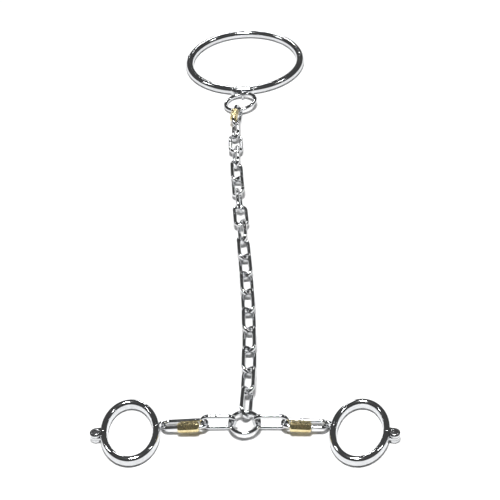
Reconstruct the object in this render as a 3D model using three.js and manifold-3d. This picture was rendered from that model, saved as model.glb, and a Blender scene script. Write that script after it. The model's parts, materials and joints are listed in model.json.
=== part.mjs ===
// A steel neck collar joined by a welded chain to two wrist cuffs, laid out flat.
// Units are millimetres and +Z is up. Every sub-part is its own named mesh.

import * as THREE from 'three';
import { mergeVertices } from 'three/addons/utils/BufferGeometryUtils.js';
import Module from 'manifold-3d';

const wasm = await Module();
wasm.setup();

// ---------------------------------------------------------------- driving dimensions

const FIT = 0.3; // gap between two pieces that touch
const PLAY = 0.3; // gap between the wires of two linked pieces
const SPLIT = 0.3; // gap between the two halves of a collar or cuff

// collar: a round bar bent to a circle
const COLLAR_OUTER = 145; // outside diameter
const COLLAR_BAR = 9.5; // bar diameter
const COLLAR_SPLIT_BACK = 8.5; // the halves part this far behind the middle
const COLLAR_KNUCKLE = 8.6; // diameter of the round hinge ears
const COLLAR_PIN_OUT = 1.5; // the pin stands this far outside the bar's centre line
const COLLAR_PIN = 2.8; // pin diameter
const COLLAR_PIN_HEAD = 4.8; // diameter of the riveted heads
const COLLAR_HEAD_DEPTH = 1.45; // depth kept for each riveted head
const COLLAR_TONGUE = [3.4, 8, 3.4]; // width, length and height of the locking tongue
const COLLAR_SCREW = 2.4; // diameter of the locking screw

// staple welded to the front of the collar, and the ring that hangs in its eye
const STAPLE_WIDTH = 27; // length along the bar
const STAPLE_THICKNESS = 2.4;
const STAPLE_WRAP = 62; // degrees that the saddle wraps above and below the bar's middle
const EYE_HOLE = 6.2; // hole diameter
const EYE_WIRE = 2.6;
const EYE_TURN = 12; // degrees that the eye is turned out of square
const O_RING_OUTER = 40;
const O_RING_WIRE = 4.5;
const O_RING_TILT = 10; // degrees that it leans sideways

// chain
const CHAIN_WIRE = 4.2;
const CHAIN_WIDTH = 16.5 * (CHAIN_WIRE / 4.2); // outside width of a link, in step with its wire
const CHAIN_PITCH = 26.75; // length that each link adds
const CHAIN_ROLLS = [-56, 38, -38, 38, -38, 38, -38, 38, -38, 62, -8, -75, 35, -36, 68, -4, 60];
const BOW_TOP = 3.3; // degrees: the chain's heading where it turns furthest to the left
const BOW_FALL = 22; // degrees lost at one chain length from there
const BOW_AT = 0.58; // share of the chain's length where it turns furthest

// centre ring and the two single links beside it
const RING_OUTER = 29;
const RING_WIRE = 3.8;
const SIDE_LINK_LENGTH = 32.8; // outside length
const SIDE_LINK_ROLL = 86; // degrees: almost on edge
const ARM_HEADINGS = { left: 87.3, right: -93.4 }; // degrees from straight ahead, left positive

// quick links: an open wire oval closed by a long hexagonal sleeve nut
const QUICK_WIRE = 4;
const QUICK_WIDTH = 3.625 * QUICK_WIRE; // outside width, in step with its wire
const QUICK_LENGTH = 42;
const QUICK_ROLL = { left: -15, right: 15, neck: -57 };
const NECK_QUICK_HEADING = -6;
const NECK_RING_HEADING = -7;
const NUT_FLATS = 1.95 * QUICK_WIRE; // size across the flats
const NUT_LENGTH = 18.2;
const NUT_TRAVEL = 7; // how far it slides to free the gap
const NUT_FREE_END = CHAIN_WIRE - 3.2; // free straight wire past the nut, for the chain's wire
const GAP_LENGTH = 4.8; // opening between the two wire ends
const ARM_QUICK_DROP = 1.5; // an arm's quick link crosses this far below the side link's middle
const NECK_RING_DROP = 0.2; // the ring at the neck crosses this far below its quick link's middle

// cuffs: an oval band in two halves
const CUFF_WIDTH = 51.3; // outside, along the line from hinge to lock
const CUFF_LENGTH = 72.7; // outside, across that line
const CUFF_WALL = 6.5;
const CUFF_HEIGHT = 9.3;
const CUFF_ROUND = 2; // radius on the band's edges
const CUFF_PIN_OUT = 3.4; // the hinge pin stands this far outside the band
const CUFF_KNUCKLE = 10;
const CUFF_PIN = 3.4;
const CUFF_PIN_HEAD = 7.2;
const CUFF_HEAD_DEPTH = 0.9; // depth kept for each riveted head
const CUFF_TONGUE = [3, 7, 3.1];
const CUFF_SCREW = 2.6;
const CUFF_EYE_HOLE = 1.6 * QUICK_WIRE; // hole that the quick link hangs in
const CUFF_EYE = CUFF_EYE_HOLE + 2.8; // diameter of the eye round it
const CUFF_EYE_PLATE = 2.4;
const CUFF_EYE_PLAY = 0.7; // gap between the eye's hole and the wire that pulls on it
const CUFF_EYE_OUT = 2.1; // the eye's centre stands this far outside the band
const CUFF_EYE_BACK = 3.6; // and this far behind the split
const CUFF_YAWS = { left: 5, right: -12 }; // degrees
const COLLAR_YAW = -2.6;

const LAYER_GAP = 0.4; // gap between two hinge ears
const TONGUE_PLAY = 0.5; // gap each side of a locking tongue

// facets
const WIRE_SIDES = 8;
const LINK_STEPS = 16;
const COLLAR_STEPS = 56;
const COLLAR_SIDES = 14;
const ROUND_SIDES = 20;

// ---------------------------------------------------------------- materials

const steel = new THREE.MeshStandardMaterial({ color: 0xd5d8dc, metalness: 1, roughness: 0.12 });
const wornSteel = new THREE.MeshStandardMaterial({ color: 0xbfc3c8, metalness: 1, roughness: 0.2 });
const brass = new THREE.MeshStandardMaterial({ color: 0xd8b25c, metalness: 1, roughness: 0.22 });

// ---------------------------------------------------------------- solids

function solidOf(geometry) {
  const bare = geometry.clone();
  bare.deleteAttribute('normal');
  bare.deleteAttribute('uv');
  const merged = mergeVertices(bare, 1e-4);
  const vertProperties = new Float32Array(merged.attributes.position.array);
  const triVerts = new Uint32Array(merged.index.array);
  return new wasm.Manifold(new wasm.Mesh({ numProp: 3, vertProperties, triVerts }));
}

function geometryOf(solid) {
  const mesh = solid.getMesh();
  const geometry = new THREE.BufferGeometry();
  geometry.setAttribute('position', new THREE.BufferAttribute(mesh.vertProperties, 3));
  geometry.setIndex(new THREE.BufferAttribute(mesh.triVerts, 1));
  geometry.computeVertexNormals();
  return geometry;
}

// an upright round bar from low to high
function post(diameter, x, y, low, high) {
  const bar = new THREE.CylinderGeometry(diameter / 2, diameter / 2, high - low, ROUND_SIDES);
  bar.rotateX(Math.PI / 2);
  bar.translate(x, y, (low + high) / 2);
  return solidOf(bar);
}

function block(lowX, highX, lowY, highY, lowZ, highZ) {
  const box = new THREE.BoxGeometry(highX - lowX, highY - lowY, highZ - lowZ);
  box.translate((lowX + highX) / 2, (lowY + highY) / 2, (lowZ + highZ) / 2);
  return solidOf(box);
}

// a ring whose flat facets lie on the true circle, so that its wire sits where it should
function wireRing(radius, wire, steps, sides) {
  const ring = new THREE.TorusGeometry(radius / Math.cos(Math.PI / steps), wire / 2, sides, steps);
  return ring.rotateZ(Math.PI / steps);
}

// a link is a ring pulled apart along Y: width across X, length along Y
function wireLink(width, length, wire) {
  const link = wireRing((width - wire) / 2, wire, LINK_STEPS, WIRE_SIDES);
  const place = link.attributes.position;
  for (let i = 0; i < place.count; i += 1) {
    place.setY(i, place.getY(i) + Math.sign(place.getY(i)) * (length - width) / 2);
  }
  return link;
}

// a turned piece: its outline is given as [radius, height] from the axis back to the axis
function turned(outline, x, y) {
  const points = outline.map(([radius, height]) => new THREE.Vector2(radius, height));
  const piece = new THREE.LatheGeometry(points, ROUND_SIDES);
  piece.rotateX(Math.PI / 2);
  piece.translate(x, y, 0);
  return piece;
}

// a rivet with a low dome at each end, even above and below its middle
function rivet(shank, head, halfLength, headDepth, x, y) {
  const rim = halfLength - headDepth + FIT;
  const upper = [
    [shank / 2, rim],
    [head / 2, rim],
    [head * 0.36, halfLength - headDepth * 0.15],
    [0, halfLength],
  ];
  const lower = upper.map(([radius, height]) => [radius, -height]).reverse();
  return turned([...lower, ...upper], x, y);
}

// a headless screw with a six-sided socket in its upper end
function socketScrew(diameter, x, y, low, high) {
  const socket = new THREE.CylinderGeometry(diameter * 0.27, diameter * 0.27, 2, 6);
  socket.rotateX(Math.PI / 2);
  socket.translate(x, y, high);
  return geometryOf(post(diameter, x, y, low, high).subtract(solidOf(socket)));
}

// ---------------------------------------------------------------- collar

const collarRadius = (COLLAR_OUTER - COLLAR_BAR) / 2;
const collarHalf = COLLAR_BAR / 2;
const collarJointX = Math.sqrt(collarRadius ** 2 - COLLAR_SPLIT_BACK ** 2);
const collarPinX = -collarJointX - COLLAR_PIN_OUT;
const collarEar = COLLAR_BAR * 0.155; // half the height of the middle ear
const collarSpotFace = collarHalf - COLLAR_HEAD_DEPTH; // the heads sit on flats at this height
const eyeWidth = EYE_HOLE + EYE_WIRE; // the eye's centre-line diameter
const eyeOut = EYE_HOLE / 2 + 2.4; // the eye's centre stands this far outside the bar
const eyeLift = EYE_HOLE / 2 + EYE_WIRE - collarHalf; // and this far above the bar's middle
const screwInTongue = COLLAR_TONGUE[1] * 0.52;

function collarRing() {
  return solidOf(wireRing(collarRadius, COLLAR_BAR, COLLAR_STEPS, COLLAR_SIDES));
}

// everything of the collar on one side of the split
function collarSide(sign) {
  const edge = COLLAR_SPLIT_BACK + sign * SPLIT / 2;
  const far = sign * COLLAR_OUTER;
  const space = [Math.min(edge, far), Math.max(edge, far)];
  return collarRing().intersect(block(-COLLAR_OUTER, COLLAR_OUTER, ...space, -20, 20));
}

function collarEars(low, high, extra) {
  return post(COLLAR_KNUCKLE + extra, collarPinX, COLLAR_SPLIT_BACK, low, high);
}

function collarPinHole() {
  return post(COLLAR_PIN + 2 * FIT, collarPinX, COLLAR_SPLIT_BACK, -20, 20);
}

function collarFrontHalf() {
  const clear = collarEar;
  const cut = 2 * LAYER_GAP;
  const [width, length, height] = COLLAR_TONGUE;
  const pocket = block(
    collarJointX - width / 2 - TONGUE_PLAY, collarJointX + width / 2 + TONGUE_PLAY,
    COLLAR_SPLIT_BACK - length - TONGUE_PLAY, COLLAR_SPLIT_BACK + 1,
    -height / 2 - LAYER_GAP, height / 2 + LAYER_GAP,
  );
  const screwHole = post(
    COLLAR_SCREW + 2 * FIT, collarJointX, COLLAR_SPLIT_BACK - screwInTongue, 0, collarHalf + 1,
  );
  const solid = collarSide(-1)
    .subtract(collarEars(clear, 20, cut))
    .subtract(collarEars(-20, -clear, cut))
    .add(collarRing().intersect(collarEars(-collarEar, collarEar, 0)))
    .subtract(collarPinHole())
    .subtract(pocket)
    .subtract(screwHole);
  return geometryOf(solid);
}

function collarRearHalf() {
  const [width, length, height] = COLLAR_TONGUE;
  const low = collarEar + LAYER_GAP;
  const tongue = block(
    collarJointX - width / 2, collarJointX + width / 2,
    COLLAR_SPLIT_BACK - length, COLLAR_SPLIT_BACK + 2,
    -height / 2, height / 2,
  );
  const headSpace = COLLAR_PIN_HEAD + 2 * FIT;
  const solid = collarSide(1)
    .subtract(collarEars(-low, low, 2 * LAYER_GAP))
    .add(collarRing().intersect(collarEars(low, 20, 0)))
    .add(collarRing().intersect(collarEars(-20, -low, 0)))
    .subtract(collarPinHole())
    .subtract(post(headSpace, collarPinX, COLLAR_SPLIT_BACK, collarSpotFace, 20))
    .subtract(post(headSpace, collarPinX, COLLAR_SPLIT_BACK, -20, -collarSpotFace))
    .add(tongue);
  return geometryOf(solid);
}

function collarPin() {
  return rivet(
    COLLAR_PIN, COLLAR_PIN_HEAD, collarHalf, COLLAR_HEAD_DEPTH, collarPinX, COLLAR_SPLIT_BACK,
  );
}

function collarScrew() {
  const low = COLLAR_TONGUE[2] / 2 + FIT;
  return socketScrew(
    COLLAR_SCREW, collarJointX, COLLAR_SPLIT_BACK - screwInTongue, low, collarHalf - 0.3,
  );
}

// a crescent that hugs the front of the bar, with a round eye standing on it
function collarStaple() {
  const inner = collarHalf + FIT;
  const outer = inner + STAPLE_THICKNESS;
  const wrap = THREE.MathUtils.degToRad(STAPLE_WRAP);
  const crescent = new THREE.Shape();
  crescent.absarc(collarRadius, 0, outer, -wrap, wrap, false);
  crescent.absarc(collarRadius, 0, inner, wrap, -wrap, true);
  const points = crescent.getPoints(5);
  const half = STAPLE_WIDTH / (COLLAR_OUTER + STAPLE_THICKNESS);
  const saddle = sweptAboutZ(points, -Math.PI / 2 - half, -Math.PI / 2 + half, 8);
  const eye = wireRing(eyeWidth / 2, EYE_WIRE, LINK_STEPS, WIRE_SIDES);
  eye.rotateY(Math.PI / 2);
  eye.rotateZ(THREE.MathUtils.degToRad(EYE_TURN));
  eye.translate(0, -COLLAR_OUTER / 2 - eyeOut, eyeLift);
  const roomForBar = wireRing(
    collarRadius, COLLAR_BAR + 2 * FIT, COLLAR_STEPS, COLLAR_SIDES,
  );
  const floor = block(-40, 40, -COLLAR_OUTER, 0, -20, -collarHalf);
  const trimmedEye = solidOf(eye).subtract(solidOf(roomForBar));
  return geometryOf(solidOf(saddle).add(trimmedEye).subtract(floor));
}

// sweeps an outline of [radius, height] about Z from one angle to another, as a closed solid
function sweptAboutZ(outline, from, to, steps) {
  const shape = new THREE.Shape(outline.map((p) => new THREE.Vector2(p.x, p.y)));
  const wedge = new THREE.ExtrudeGeometry(shape, { depth: 1, steps, bevelEnabled: false });
  const place = wedge.attributes.position;
  for (let i = 0; i < place.count; i += 1) {
    const angle = to + (from - to) * place.getZ(i);
    const radius = place.getX(i);
    place.setXYZ(i, radius * Math.cos(angle), radius * Math.sin(angle), place.getY(i));
  }
  return wedge;
}

// ---------------------------------------------------------------- quick links

const quickStraight = (QUICK_LENGTH - QUICK_WIDTH) / 2; // half of a straight side
const nutClosedEnd = -quickStraight + NUT_FREE_END; // where the closed nut ends, at its near side
const nutMiddle = nutClosedEnd + NUT_LENGTH / 2;
const gapEnd = nutClosedEnd + NUT_TRAVEL - FIT; // the gap is free once the nut has slid its travel
const quickSide = (QUICK_WIDTH - QUICK_WIRE) / 2;

// the nut's side is the one at negative X, and the gap lies near the end at negative Y
function quickLinkBody() {
  const gap = block(-QUICK_WIDTH, 0, gapEnd - GAP_LENGTH, gapEnd, -QUICK_WIRE, QUICK_WIRE);
  return geometryOf(solidOf(wireLink(QUICK_WIDTH, QUICK_LENGTH, QUICK_WIRE)).subtract(gap));
}

function quickLinkNut() {
  const hexagon = new THREE.Shape();
  const corner = NUT_FLATS / Math.sqrt(3);
  const edge = 0.5; // bevel on the nut's ends
  for (let i = 0; i < 6; i += 1) {
    const angle = (i * Math.PI) / 3;
    const step = i === 0 ? 'moveTo' : 'lineTo';
    hexagon[step]((corner - edge) * Math.cos(angle), (corner - edge) * Math.sin(angle));
  }
  hexagon.closePath();
  const bore = new THREE.Path();
  bore.absarc(0, 0, QUICK_WIRE / 2 + FIT + edge, 0, 2 * Math.PI, true);
  hexagon.holes.push(bore);
  const nut = new THREE.ExtrudeGeometry(hexagon, {
    depth: NUT_LENGTH - 2 * edge,
    bevelThickness: edge,
    bevelSize: edge,
    bevelSegments: 1,
    curveSegments: 8,
  });
  nut.translate(0, 0, edge - NUT_LENGTH / 2);
  nut.rotateX(Math.PI / 2);
  return nut.translate(-quickSide, nutMiddle, 0);
}

// ---------------------------------------------------------------- cuffs
// Local X runs from the hinge to the lock, and local Y points to the rear half.

const cuffTop = CUFF_HEIGHT / 2;
const cuffPinX = -CUFF_WIDTH / 2 - CUFF_PIN_OUT;
const cuffWallX = CUFF_WIDTH / 2 - CUFF_WALL / 2; // middle of the wall at the lock
const cuffEyeX = CUFF_WIDTH / 2 + CUFF_EYE_OUT;
const earStack = cuffTop - CUFF_HEAD_DEPTH; // half the height of the three ears together
const midEar = (earStack - LAYER_GAP) / 3; // half the height of the middle ear
const cuffScrewBack = CUFF_TONGUE[1] * 0.5;

function cuffBand() {
  const oval = new THREE.Shape();
  const inset = CUFF_ROUND;
  oval.absellipse(0, 0, CUFF_WIDTH / 2 - inset, CUFF_LENGTH / 2 - inset, 0, 2 * Math.PI);
  const opening = new THREE.Path();
  const thick = CUFF_WALL - inset;
  opening.absellipse(0, 0, CUFF_WIDTH / 2 - thick, CUFF_LENGTH / 2 - thick, 0, 2 * Math.PI, true);
  oval.holes.push(opening);
  const band = new THREE.ExtrudeGeometry(oval, {
    depth: CUFF_HEIGHT - 2 * CUFF_ROUND,
    bevelThickness: CUFF_ROUND,
    bevelSize: CUFF_ROUND,
    bevelSegments: 3,
    curveSegments: 20,
  });
  band.translate(0, 0, CUFF_ROUND - cuffTop);
  return solidOf(band);
}

function cuffSide(sign) {
  const edge = sign * SPLIT / 2;
  const far = sign * CUFF_LENGTH;
  const space = [Math.min(edge, far), Math.max(edge, far)];
  return cuffBand().intersect(block(-CUFF_WIDTH, CUFF_WIDTH, ...space, -20, 20));
}

// a round ear about the pin, with a web that reaches into the band on one side of the split
function cuffEar(sign, low, high) {
  const reach = CUFF_PIN_OUT + CUFF_WALL * 0.6;
  const near = sign * SPLIT / 2;
  const far = sign * CUFF_KNUCKLE / 2;
  const web = block(
    cuffPinX, cuffPinX + reach, Math.min(near, far), Math.max(near, far), low, high,
  );
  return post(CUFF_KNUCKLE, cuffPinX, 0, low, high).add(web);
}

function cuffEarSpace(low, high) {
  return post(CUFF_KNUCKLE + 2 * LAYER_GAP, cuffPinX, 0, low, high);
}

function cuffPinHole() {
  return post(CUFF_PIN + 2 * FIT, cuffPinX, 0, -20, 20);
}

function cuffFrontHalf() {
  const [width, length, height] = CUFF_TONGUE;
  const tongue = block(
    cuffWallX - width / 2, cuffWallX + width / 2, -2, length, -height / 2, height / 2,
  );
  const solid = cuffSide(-1)
    .subtract(cuffEarSpace(midEar, 20))
    .subtract(cuffEarSpace(-20, -midEar))
    .add(cuffEar(-1, -midEar, midEar))
    .subtract(cuffPinHole())
    .add(tongue);
  return geometryOf(solid);
}

// screwFace is 1 where the lock screw enters from above, and -1 from below
function cuffRearHalf(screwFace) {
  const low = midEar + LAYER_GAP;
  const [width, length, height] = CUFF_TONGUE;
  const pocket = block(
    cuffWallX - width / 2 - TONGUE_PLAY, cuffWallX + width / 2 + TONGUE_PLAY,
    -1, length + TONGUE_PLAY,
    -height / 2 - LAYER_GAP, height / 2 + LAYER_GAP,
  );
  const screwEnds = [0, screwFace * (cuffTop + 1)].sort((a, b) => a - b);
  const screwHole = post(CUFF_SCREW + 2 * FIT, cuffWallX, cuffScrewBack, ...screwEnds);
  const solid = cuffSide(1)
    .subtract(cuffEarSpace(-low, low))
    .add(cuffEar(1, low, earStack))
    .add(cuffEar(1, -earStack, -low))
    .subtract(cuffPinHole())
    .add(cuffEye())
    .subtract(cuffEyeHole())
    .subtract(pocket)
    .subtract(screwHole);
  return geometryOf(solid);
}

function alongY(diameter, x, lowY, highY) {
  const bar = new THREE.CylinderGeometry(diameter / 2, diameter / 2, highY - lowY, ROUND_SIDES);
  bar.translate(x, (lowY + highY) / 2, 0);
  return solidOf(bar);
}

function cuffEye() {
  const low = CUFF_EYE_BACK - CUFF_EYE_PLATE / 2;
  const high = CUFF_EYE_BACK + CUFF_EYE_PLATE / 2;
  const root = block(cuffWallX + CUFF_WALL * 0.35, cuffEyeX, low, high, -CUFF_EYE * 0.42, CUFF_EYE * 0.42);
  return alongY(CUFF_EYE, cuffEyeX, low, high).add(root);
}

function cuffEyeHole() {
  return alongY(CUFF_EYE_HOLE, cuffEyeX, CUFF_EYE_BACK - 8, CUFF_EYE_BACK + 8);
}

function cuffPin() {
  return rivet(CUFF_PIN, CUFF_PIN_HEAD, cuffTop, CUFF_HEAD_DEPTH, cuffPinX, 0);
}

function cuffScrew(screwFace) {
  const low = CUFF_TONGUE[2] / 2 + FIT;
  const screw = socketScrew(CUFF_SCREW, 0, 0, low, cuffTop - 0.3);
  if (screwFace < 0) {
    screw.rotateY(Math.PI);
  }
  return screw.translate(cuffWallX, cuffScrewBack, 0);
}

// ---------------------------------------------------------------- layout

const kit = new THREE.Group();

function add(parent, name, geometry, material) {
  const mesh = new THREE.Mesh(geometry, material);
  mesh.name = name;
  parent.add(mesh);
  return mesh;
}

// the unit vector of a heading, in degrees left of +Y, and a climb in radians
function headingOf(degrees, climb = 0) {
  const turn = THREE.MathUtils.degToRad(degrees);
  const flat = Math.cos(climb);
  return new THREE.Vector3(-Math.sin(turn) * flat, Math.cos(turn) * flat, Math.sin(climb));
}

// a group whose Y runs along a heading and whose X is rolled up from level, in degrees
function rolledFrame(centre, along, roll) {
  const level = new THREE.Vector3().crossVectors(along, new THREE.Vector3(0, 0, 1)).normalize();
  const up = new THREE.Vector3().crossVectors(level, along);
  const turn = THREE.MathUtils.degToRad(roll);
  const across = level.multiplyScalar(Math.cos(turn)).addScaledVector(up, Math.sin(turn));
  const normal = new THREE.Vector3().crossVectors(across, along);
  const frame = new THREE.Group();
  frame.quaternion.setFromRotationMatrix(new THREE.Matrix4().makeBasis(across, along, normal));
  frame.position.copy(centre);
  kit.add(frame);
  return frame;
}

// Hangs a piece in the end of the last one. An end is the middle of the wire that the next
// piece hooks round, and length is measured between the middles of a piece's two end wires.
function hookOn(end, { heading, roll, length, wire, rise = 0, endHeight }) {
  const start = end.point.clone();
  start.z += rise;
  const overlap = (end.wire + wire) / 2 + PLAY;
  const climb = Math.asin((endHeight - start.z) / (length - overlap));
  const along = headingOf(heading, climb);
  const centre = start.clone().addScaledVector(along, length / 2 - overlap);
  const point = start.clone().addScaledVector(along, length - overlap);
  return { frame: rolledFrame(centre, along, roll), end: { point, wire } };
}

// how high the middle of a rolled link lies when its lower side rests on the ground
function restingHeight(width, wire, roll) {
  const lean = Math.abs(Math.sin(THREE.MathUtils.degToRad(roll)));
  return ((width - wire) / 2) * lean + wire / 2;
}

const chainLength = CHAIN_PITCH + CHAIN_WIRE + PLAY; // between the middles of its end wires
const chainRest = CHAIN_ROLLS.map((roll) => restingHeight(CHAIN_WIDTH, CHAIN_WIRE, roll));
const ringRadius = (RING_OUTER - RING_WIRE) / 2;
const ringHeight = chainRest[0];
const eyeHeight = collarHalf + eyeLift;

function centreRing() {
  const ring = add(kit, 'centre_ring', wireRing(ringRadius, RING_WIRE, 24, WIRE_SIDES), steel);
  ring.position.set(0, 0, ringHeight);
}

function ringEnd(heading) {
  const point = headingOf(heading).multiplyScalar(ringRadius);
  point.z = ringHeight;
  return { point, wire: RING_WIRE };
}

function chainHeading(share) {
  return BOW_TOP - BOW_FALL * (share - BOW_AT) ** 2;
}

function chain() {
  let end = ringEnd(chainHeading(0));
  CHAIN_ROLLS.forEach((roll, i) => {
    const heading = chainHeading(i / (CHAIN_ROLLS.length - 1));
    const endHeight = Math.max(chainRest[i], chainRest[i + 1] ?? 0);
    const link = hookOn(end, {
      heading, roll, length: chainLength, wire: CHAIN_WIRE, endHeight,
    });
    const name = `chain_link_${String(i + 1).padStart(2, '0')}`;
    const shape = wireLink(CHAIN_WIDTH, chainLength + CHAIN_WIRE, CHAIN_WIRE);
    add(link.frame, name, shape, steel);
    end = link.end;
  });
  return end;
}

function quickLink(end, side, choices) {
  const length = QUICK_LENGTH - QUICK_WIRE;
  const link = hookOn(end, { length, wire: QUICK_WIRE, roll: QUICK_ROLL[side], ...choices });
  const upper = new THREE.Group();
  link.frame.add(upper);
  add(upper, `${side}_quick_link_body`, quickLinkBody(), steel);
  add(upper, `${side}_quick_link_nut`, quickLinkNut(), brass);
  return { ...link, upper };
}

function oRing(end) {
  const radius = (O_RING_OUTER - O_RING_WIRE) / 2;
  const ring = hookOn(end, {
    heading: NECK_RING_HEADING,
    roll: O_RING_TILT,
    length: 2 * radius,
    wire: O_RING_WIRE,
    rise: -NECK_RING_DROP,
    endHeight: eyeHeight,
  });
  add(ring.frame, 'neck_o_ring', wireRing(radius, O_RING_WIRE, 28, WIRE_SIDES), steel);
  return ring.end;
}

function collar(end) {
  const frame = new THREE.Group();
  frame.rotation.z = THREE.MathUtils.degToRad(COLLAR_YAW);
  const slack = (EYE_HOLE - O_RING_WIRE) / 2 - PLAY;
  const reach = COLLAR_OUTER / 2 + eyeOut + slack;
  frame.position.copy(end.point).addScaledVector(headingOf(COLLAR_YAW), reach);
  frame.position.z = collarHalf;
  kit.add(frame);
  add(frame, 'collar_front_half', collarFrontHalf(), steel);
  add(frame, 'collar_rear_half', collarRearHalf(), steel);
  add(frame, 'collar_staple', collarStaple(), steel);
  add(frame, 'collar_hinge_pin', collarPin(), wornSteel);
  add(frame, 'collar_lock_screw', collarScrew(), wornSteel);
}

// The right cuff is the left one turned upside down, except for the face its screw enters.
function cuff(end, side) {
  const face = side === 'left' ? 1 : -1;
  const frame = new THREE.Group();
  frame.rotation.order = 'ZYX';
  frame.rotation.z = THREE.MathUtils.degToRad(CUFF_YAWS[side]);
  frame.rotation.y = face > 0 ? 0 : Math.PI;
  const slack = (CUFF_EYE_HOLE - QUICK_WIRE) / 2 - CUFF_EYE_PLAY;
  const wireInEye = new THREE.Vector3(cuffEyeX + slack, CUFF_EYE_BACK, 0);
  frame.position.copy(end.point).sub(wireInEye.applyEuler(frame.rotation));
  frame.position.z = cuffTop;
  kit.add(frame);
  add(frame, `${side}_cuff_front_half`, cuffFrontHalf(), steel);
  add(frame, `${side}_cuff_rear_half`, cuffRearHalf(face), steel);
  add(frame, `${side}_cuff_hinge_pin`, cuffPin(), wornSteel);
  add(frame, `${side}_cuff_lock_screw`, cuffScrew(face), wornSteel);
}

function arm(side) {
  const heading = ARM_HEADINGS[side];
  const roll = side === 'left' ? SIDE_LINK_ROLL : -SIDE_LINK_ROLL;
  const height = restingHeight(CHAIN_WIDTH, CHAIN_WIRE, roll);
  const link = hookOn(ringEnd(heading), {
    heading,
    roll,
    length: SIDE_LINK_LENGTH - CHAIN_WIRE,
    wire: CHAIN_WIRE,
    rise: height - ringHeight,
    endHeight: height,
  });
  const shape = wireLink(CHAIN_WIDTH, SIDE_LINK_LENGTH, CHAIN_WIRE);
  add(link.frame, `${side}_side_link`, shape, steel);
  const quick = quickLink(link.end, side, {
    heading,
    rise: -ARM_QUICK_DROP,
    endHeight: cuffTop,
  });
  // the nut lies on the near side of both arms
  quick.upper.rotation.y = side === 'left' ? 0 : Math.PI;
  cuff(quick.end, side);
}

function neck() {
  const quick = quickLink(chain(), 'neck', {
    heading: NECK_QUICK_HEADING,
    endHeight: restingHeight(QUICK_WIDTH, QUICK_WIRE, QUICK_ROLL.neck),
  });
  collar(oRing(quick.end));
}

centreRing();
neck();
arm('left');
arm('right');

// the origin is the middle of the underside of the whole
const bounds = new THREE.Box3().setFromObject(kit, true);
kit.position.set(
  -(bounds.min.x + bounds.max.x) / 2,
  -(bounds.min.y + bounds.max.y) / 2,
  -bounds.min.z,
);

export default kit;
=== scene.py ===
# %% [markdown]
# # A collar and two cuffs on one chain
# This lesson dresses a set of polished steel restraint hardware in its finished looks: a
# round collar, a welded chain, three quick links and two hinged cuffs. The measured model is
# already made, and it says where each piece sits and how it moves. Its wires have eight flat
# sides, which is right for measuring and wrong for polish, so each piece is made again here
# as a smooth surface that rides on the same body.

# %% Load the measured model
import json
import math

import bmesh
import bpy
import numpy as np
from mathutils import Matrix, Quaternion, Vector


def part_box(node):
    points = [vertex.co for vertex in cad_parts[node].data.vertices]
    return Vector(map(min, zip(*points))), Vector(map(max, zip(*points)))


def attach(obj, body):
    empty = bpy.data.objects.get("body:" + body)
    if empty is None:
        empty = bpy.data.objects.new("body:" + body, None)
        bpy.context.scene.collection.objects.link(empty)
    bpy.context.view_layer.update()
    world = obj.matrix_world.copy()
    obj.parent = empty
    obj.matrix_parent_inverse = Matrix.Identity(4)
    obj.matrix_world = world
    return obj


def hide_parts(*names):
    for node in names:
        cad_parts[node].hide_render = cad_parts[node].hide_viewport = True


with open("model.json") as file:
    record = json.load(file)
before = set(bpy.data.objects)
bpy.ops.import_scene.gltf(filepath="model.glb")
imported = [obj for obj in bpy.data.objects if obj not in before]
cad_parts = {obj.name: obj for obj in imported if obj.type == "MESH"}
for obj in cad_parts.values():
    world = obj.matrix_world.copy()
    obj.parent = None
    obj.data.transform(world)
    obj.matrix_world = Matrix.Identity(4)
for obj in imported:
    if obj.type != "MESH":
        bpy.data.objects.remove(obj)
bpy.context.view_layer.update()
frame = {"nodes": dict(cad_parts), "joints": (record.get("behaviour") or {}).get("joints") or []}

MM = 0.001  # shapes are worked out in millimetres and placed in metres

# %% Joints and boxes
joints = {joint["name"]: joint for joint in frame["joints"]}


def joint_point(name):
    """The middle of a joint, in millimetres."""
    return np.array(joints[name]["pos_m"], float) / MM


def joint_axis(name):
    return np.array(joints[name]["axis"], float)


def middle(node):
    """The middle of a measured piece's box, in millimetres."""
    low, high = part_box(node)
    return np.array((low + high) / 2) / MM


def unit(vector):
    return vector / np.linalg.norm(vector)


# %% [markdown]
# ## Camera
# A product shot of a long object is taken from well above with a long lens, so that the near
# end isn't much bigger than the far end. The camera's place says how far back and how high
# it stands. It is then aimed by a heading, a tilt below level and a small roll.

# %% Camera
CAMERA_PLACE = (41.2, -1068.4, 797.9)  # millimetres
CAMERA_HEADING = 1.97  # degrees to the left of straight ahead
CAMERA_TILT = 38.68  # degrees below level
CAMERA_ROLL = 3.88  # degrees that the right side of the picture is raised
CAMERA_LENS = 91.32

heading, tilt, roll = (math.radians(a) for a in (CAMERA_HEADING, CAMERA_TILT, CAMERA_ROLL))
aim = Vector((
    -math.sin(heading) * math.cos(tilt),
    math.cos(heading) * math.cos(tilt),
    -math.sin(tilt),
))
camera = bpy.data.objects.new("camera", bpy.data.cameras.new("camera"))
camera.data.lens = CAMERA_LENS
camera.data.clip_end = 100
camera.location = Vector(CAMERA_PLACE) * MM
camera.rotation_mode = "QUATERNION"
camera.rotation_quaternion = Quaternion(aim, roll) @ aim.to_track_quat("-Z", "Y")
bpy.context.scene.collection.objects.link(camera)
bpy.context.scene.camera = camera
print("camera", [round(v, 3) for v in camera.location])

# %% [markdown]
# ## Floor and light
# Polished steel has no colour of its own, so it shows whatever stands round it. A pale floor
# gives the white below, large soft lamps give the long highlights, and a dim room behind the
# lamps gives the dark bands between them. The floor is one wide sheet with a matt finish.

# %% Floor
FLOOR_HALF = 1.8  # metres

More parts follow.
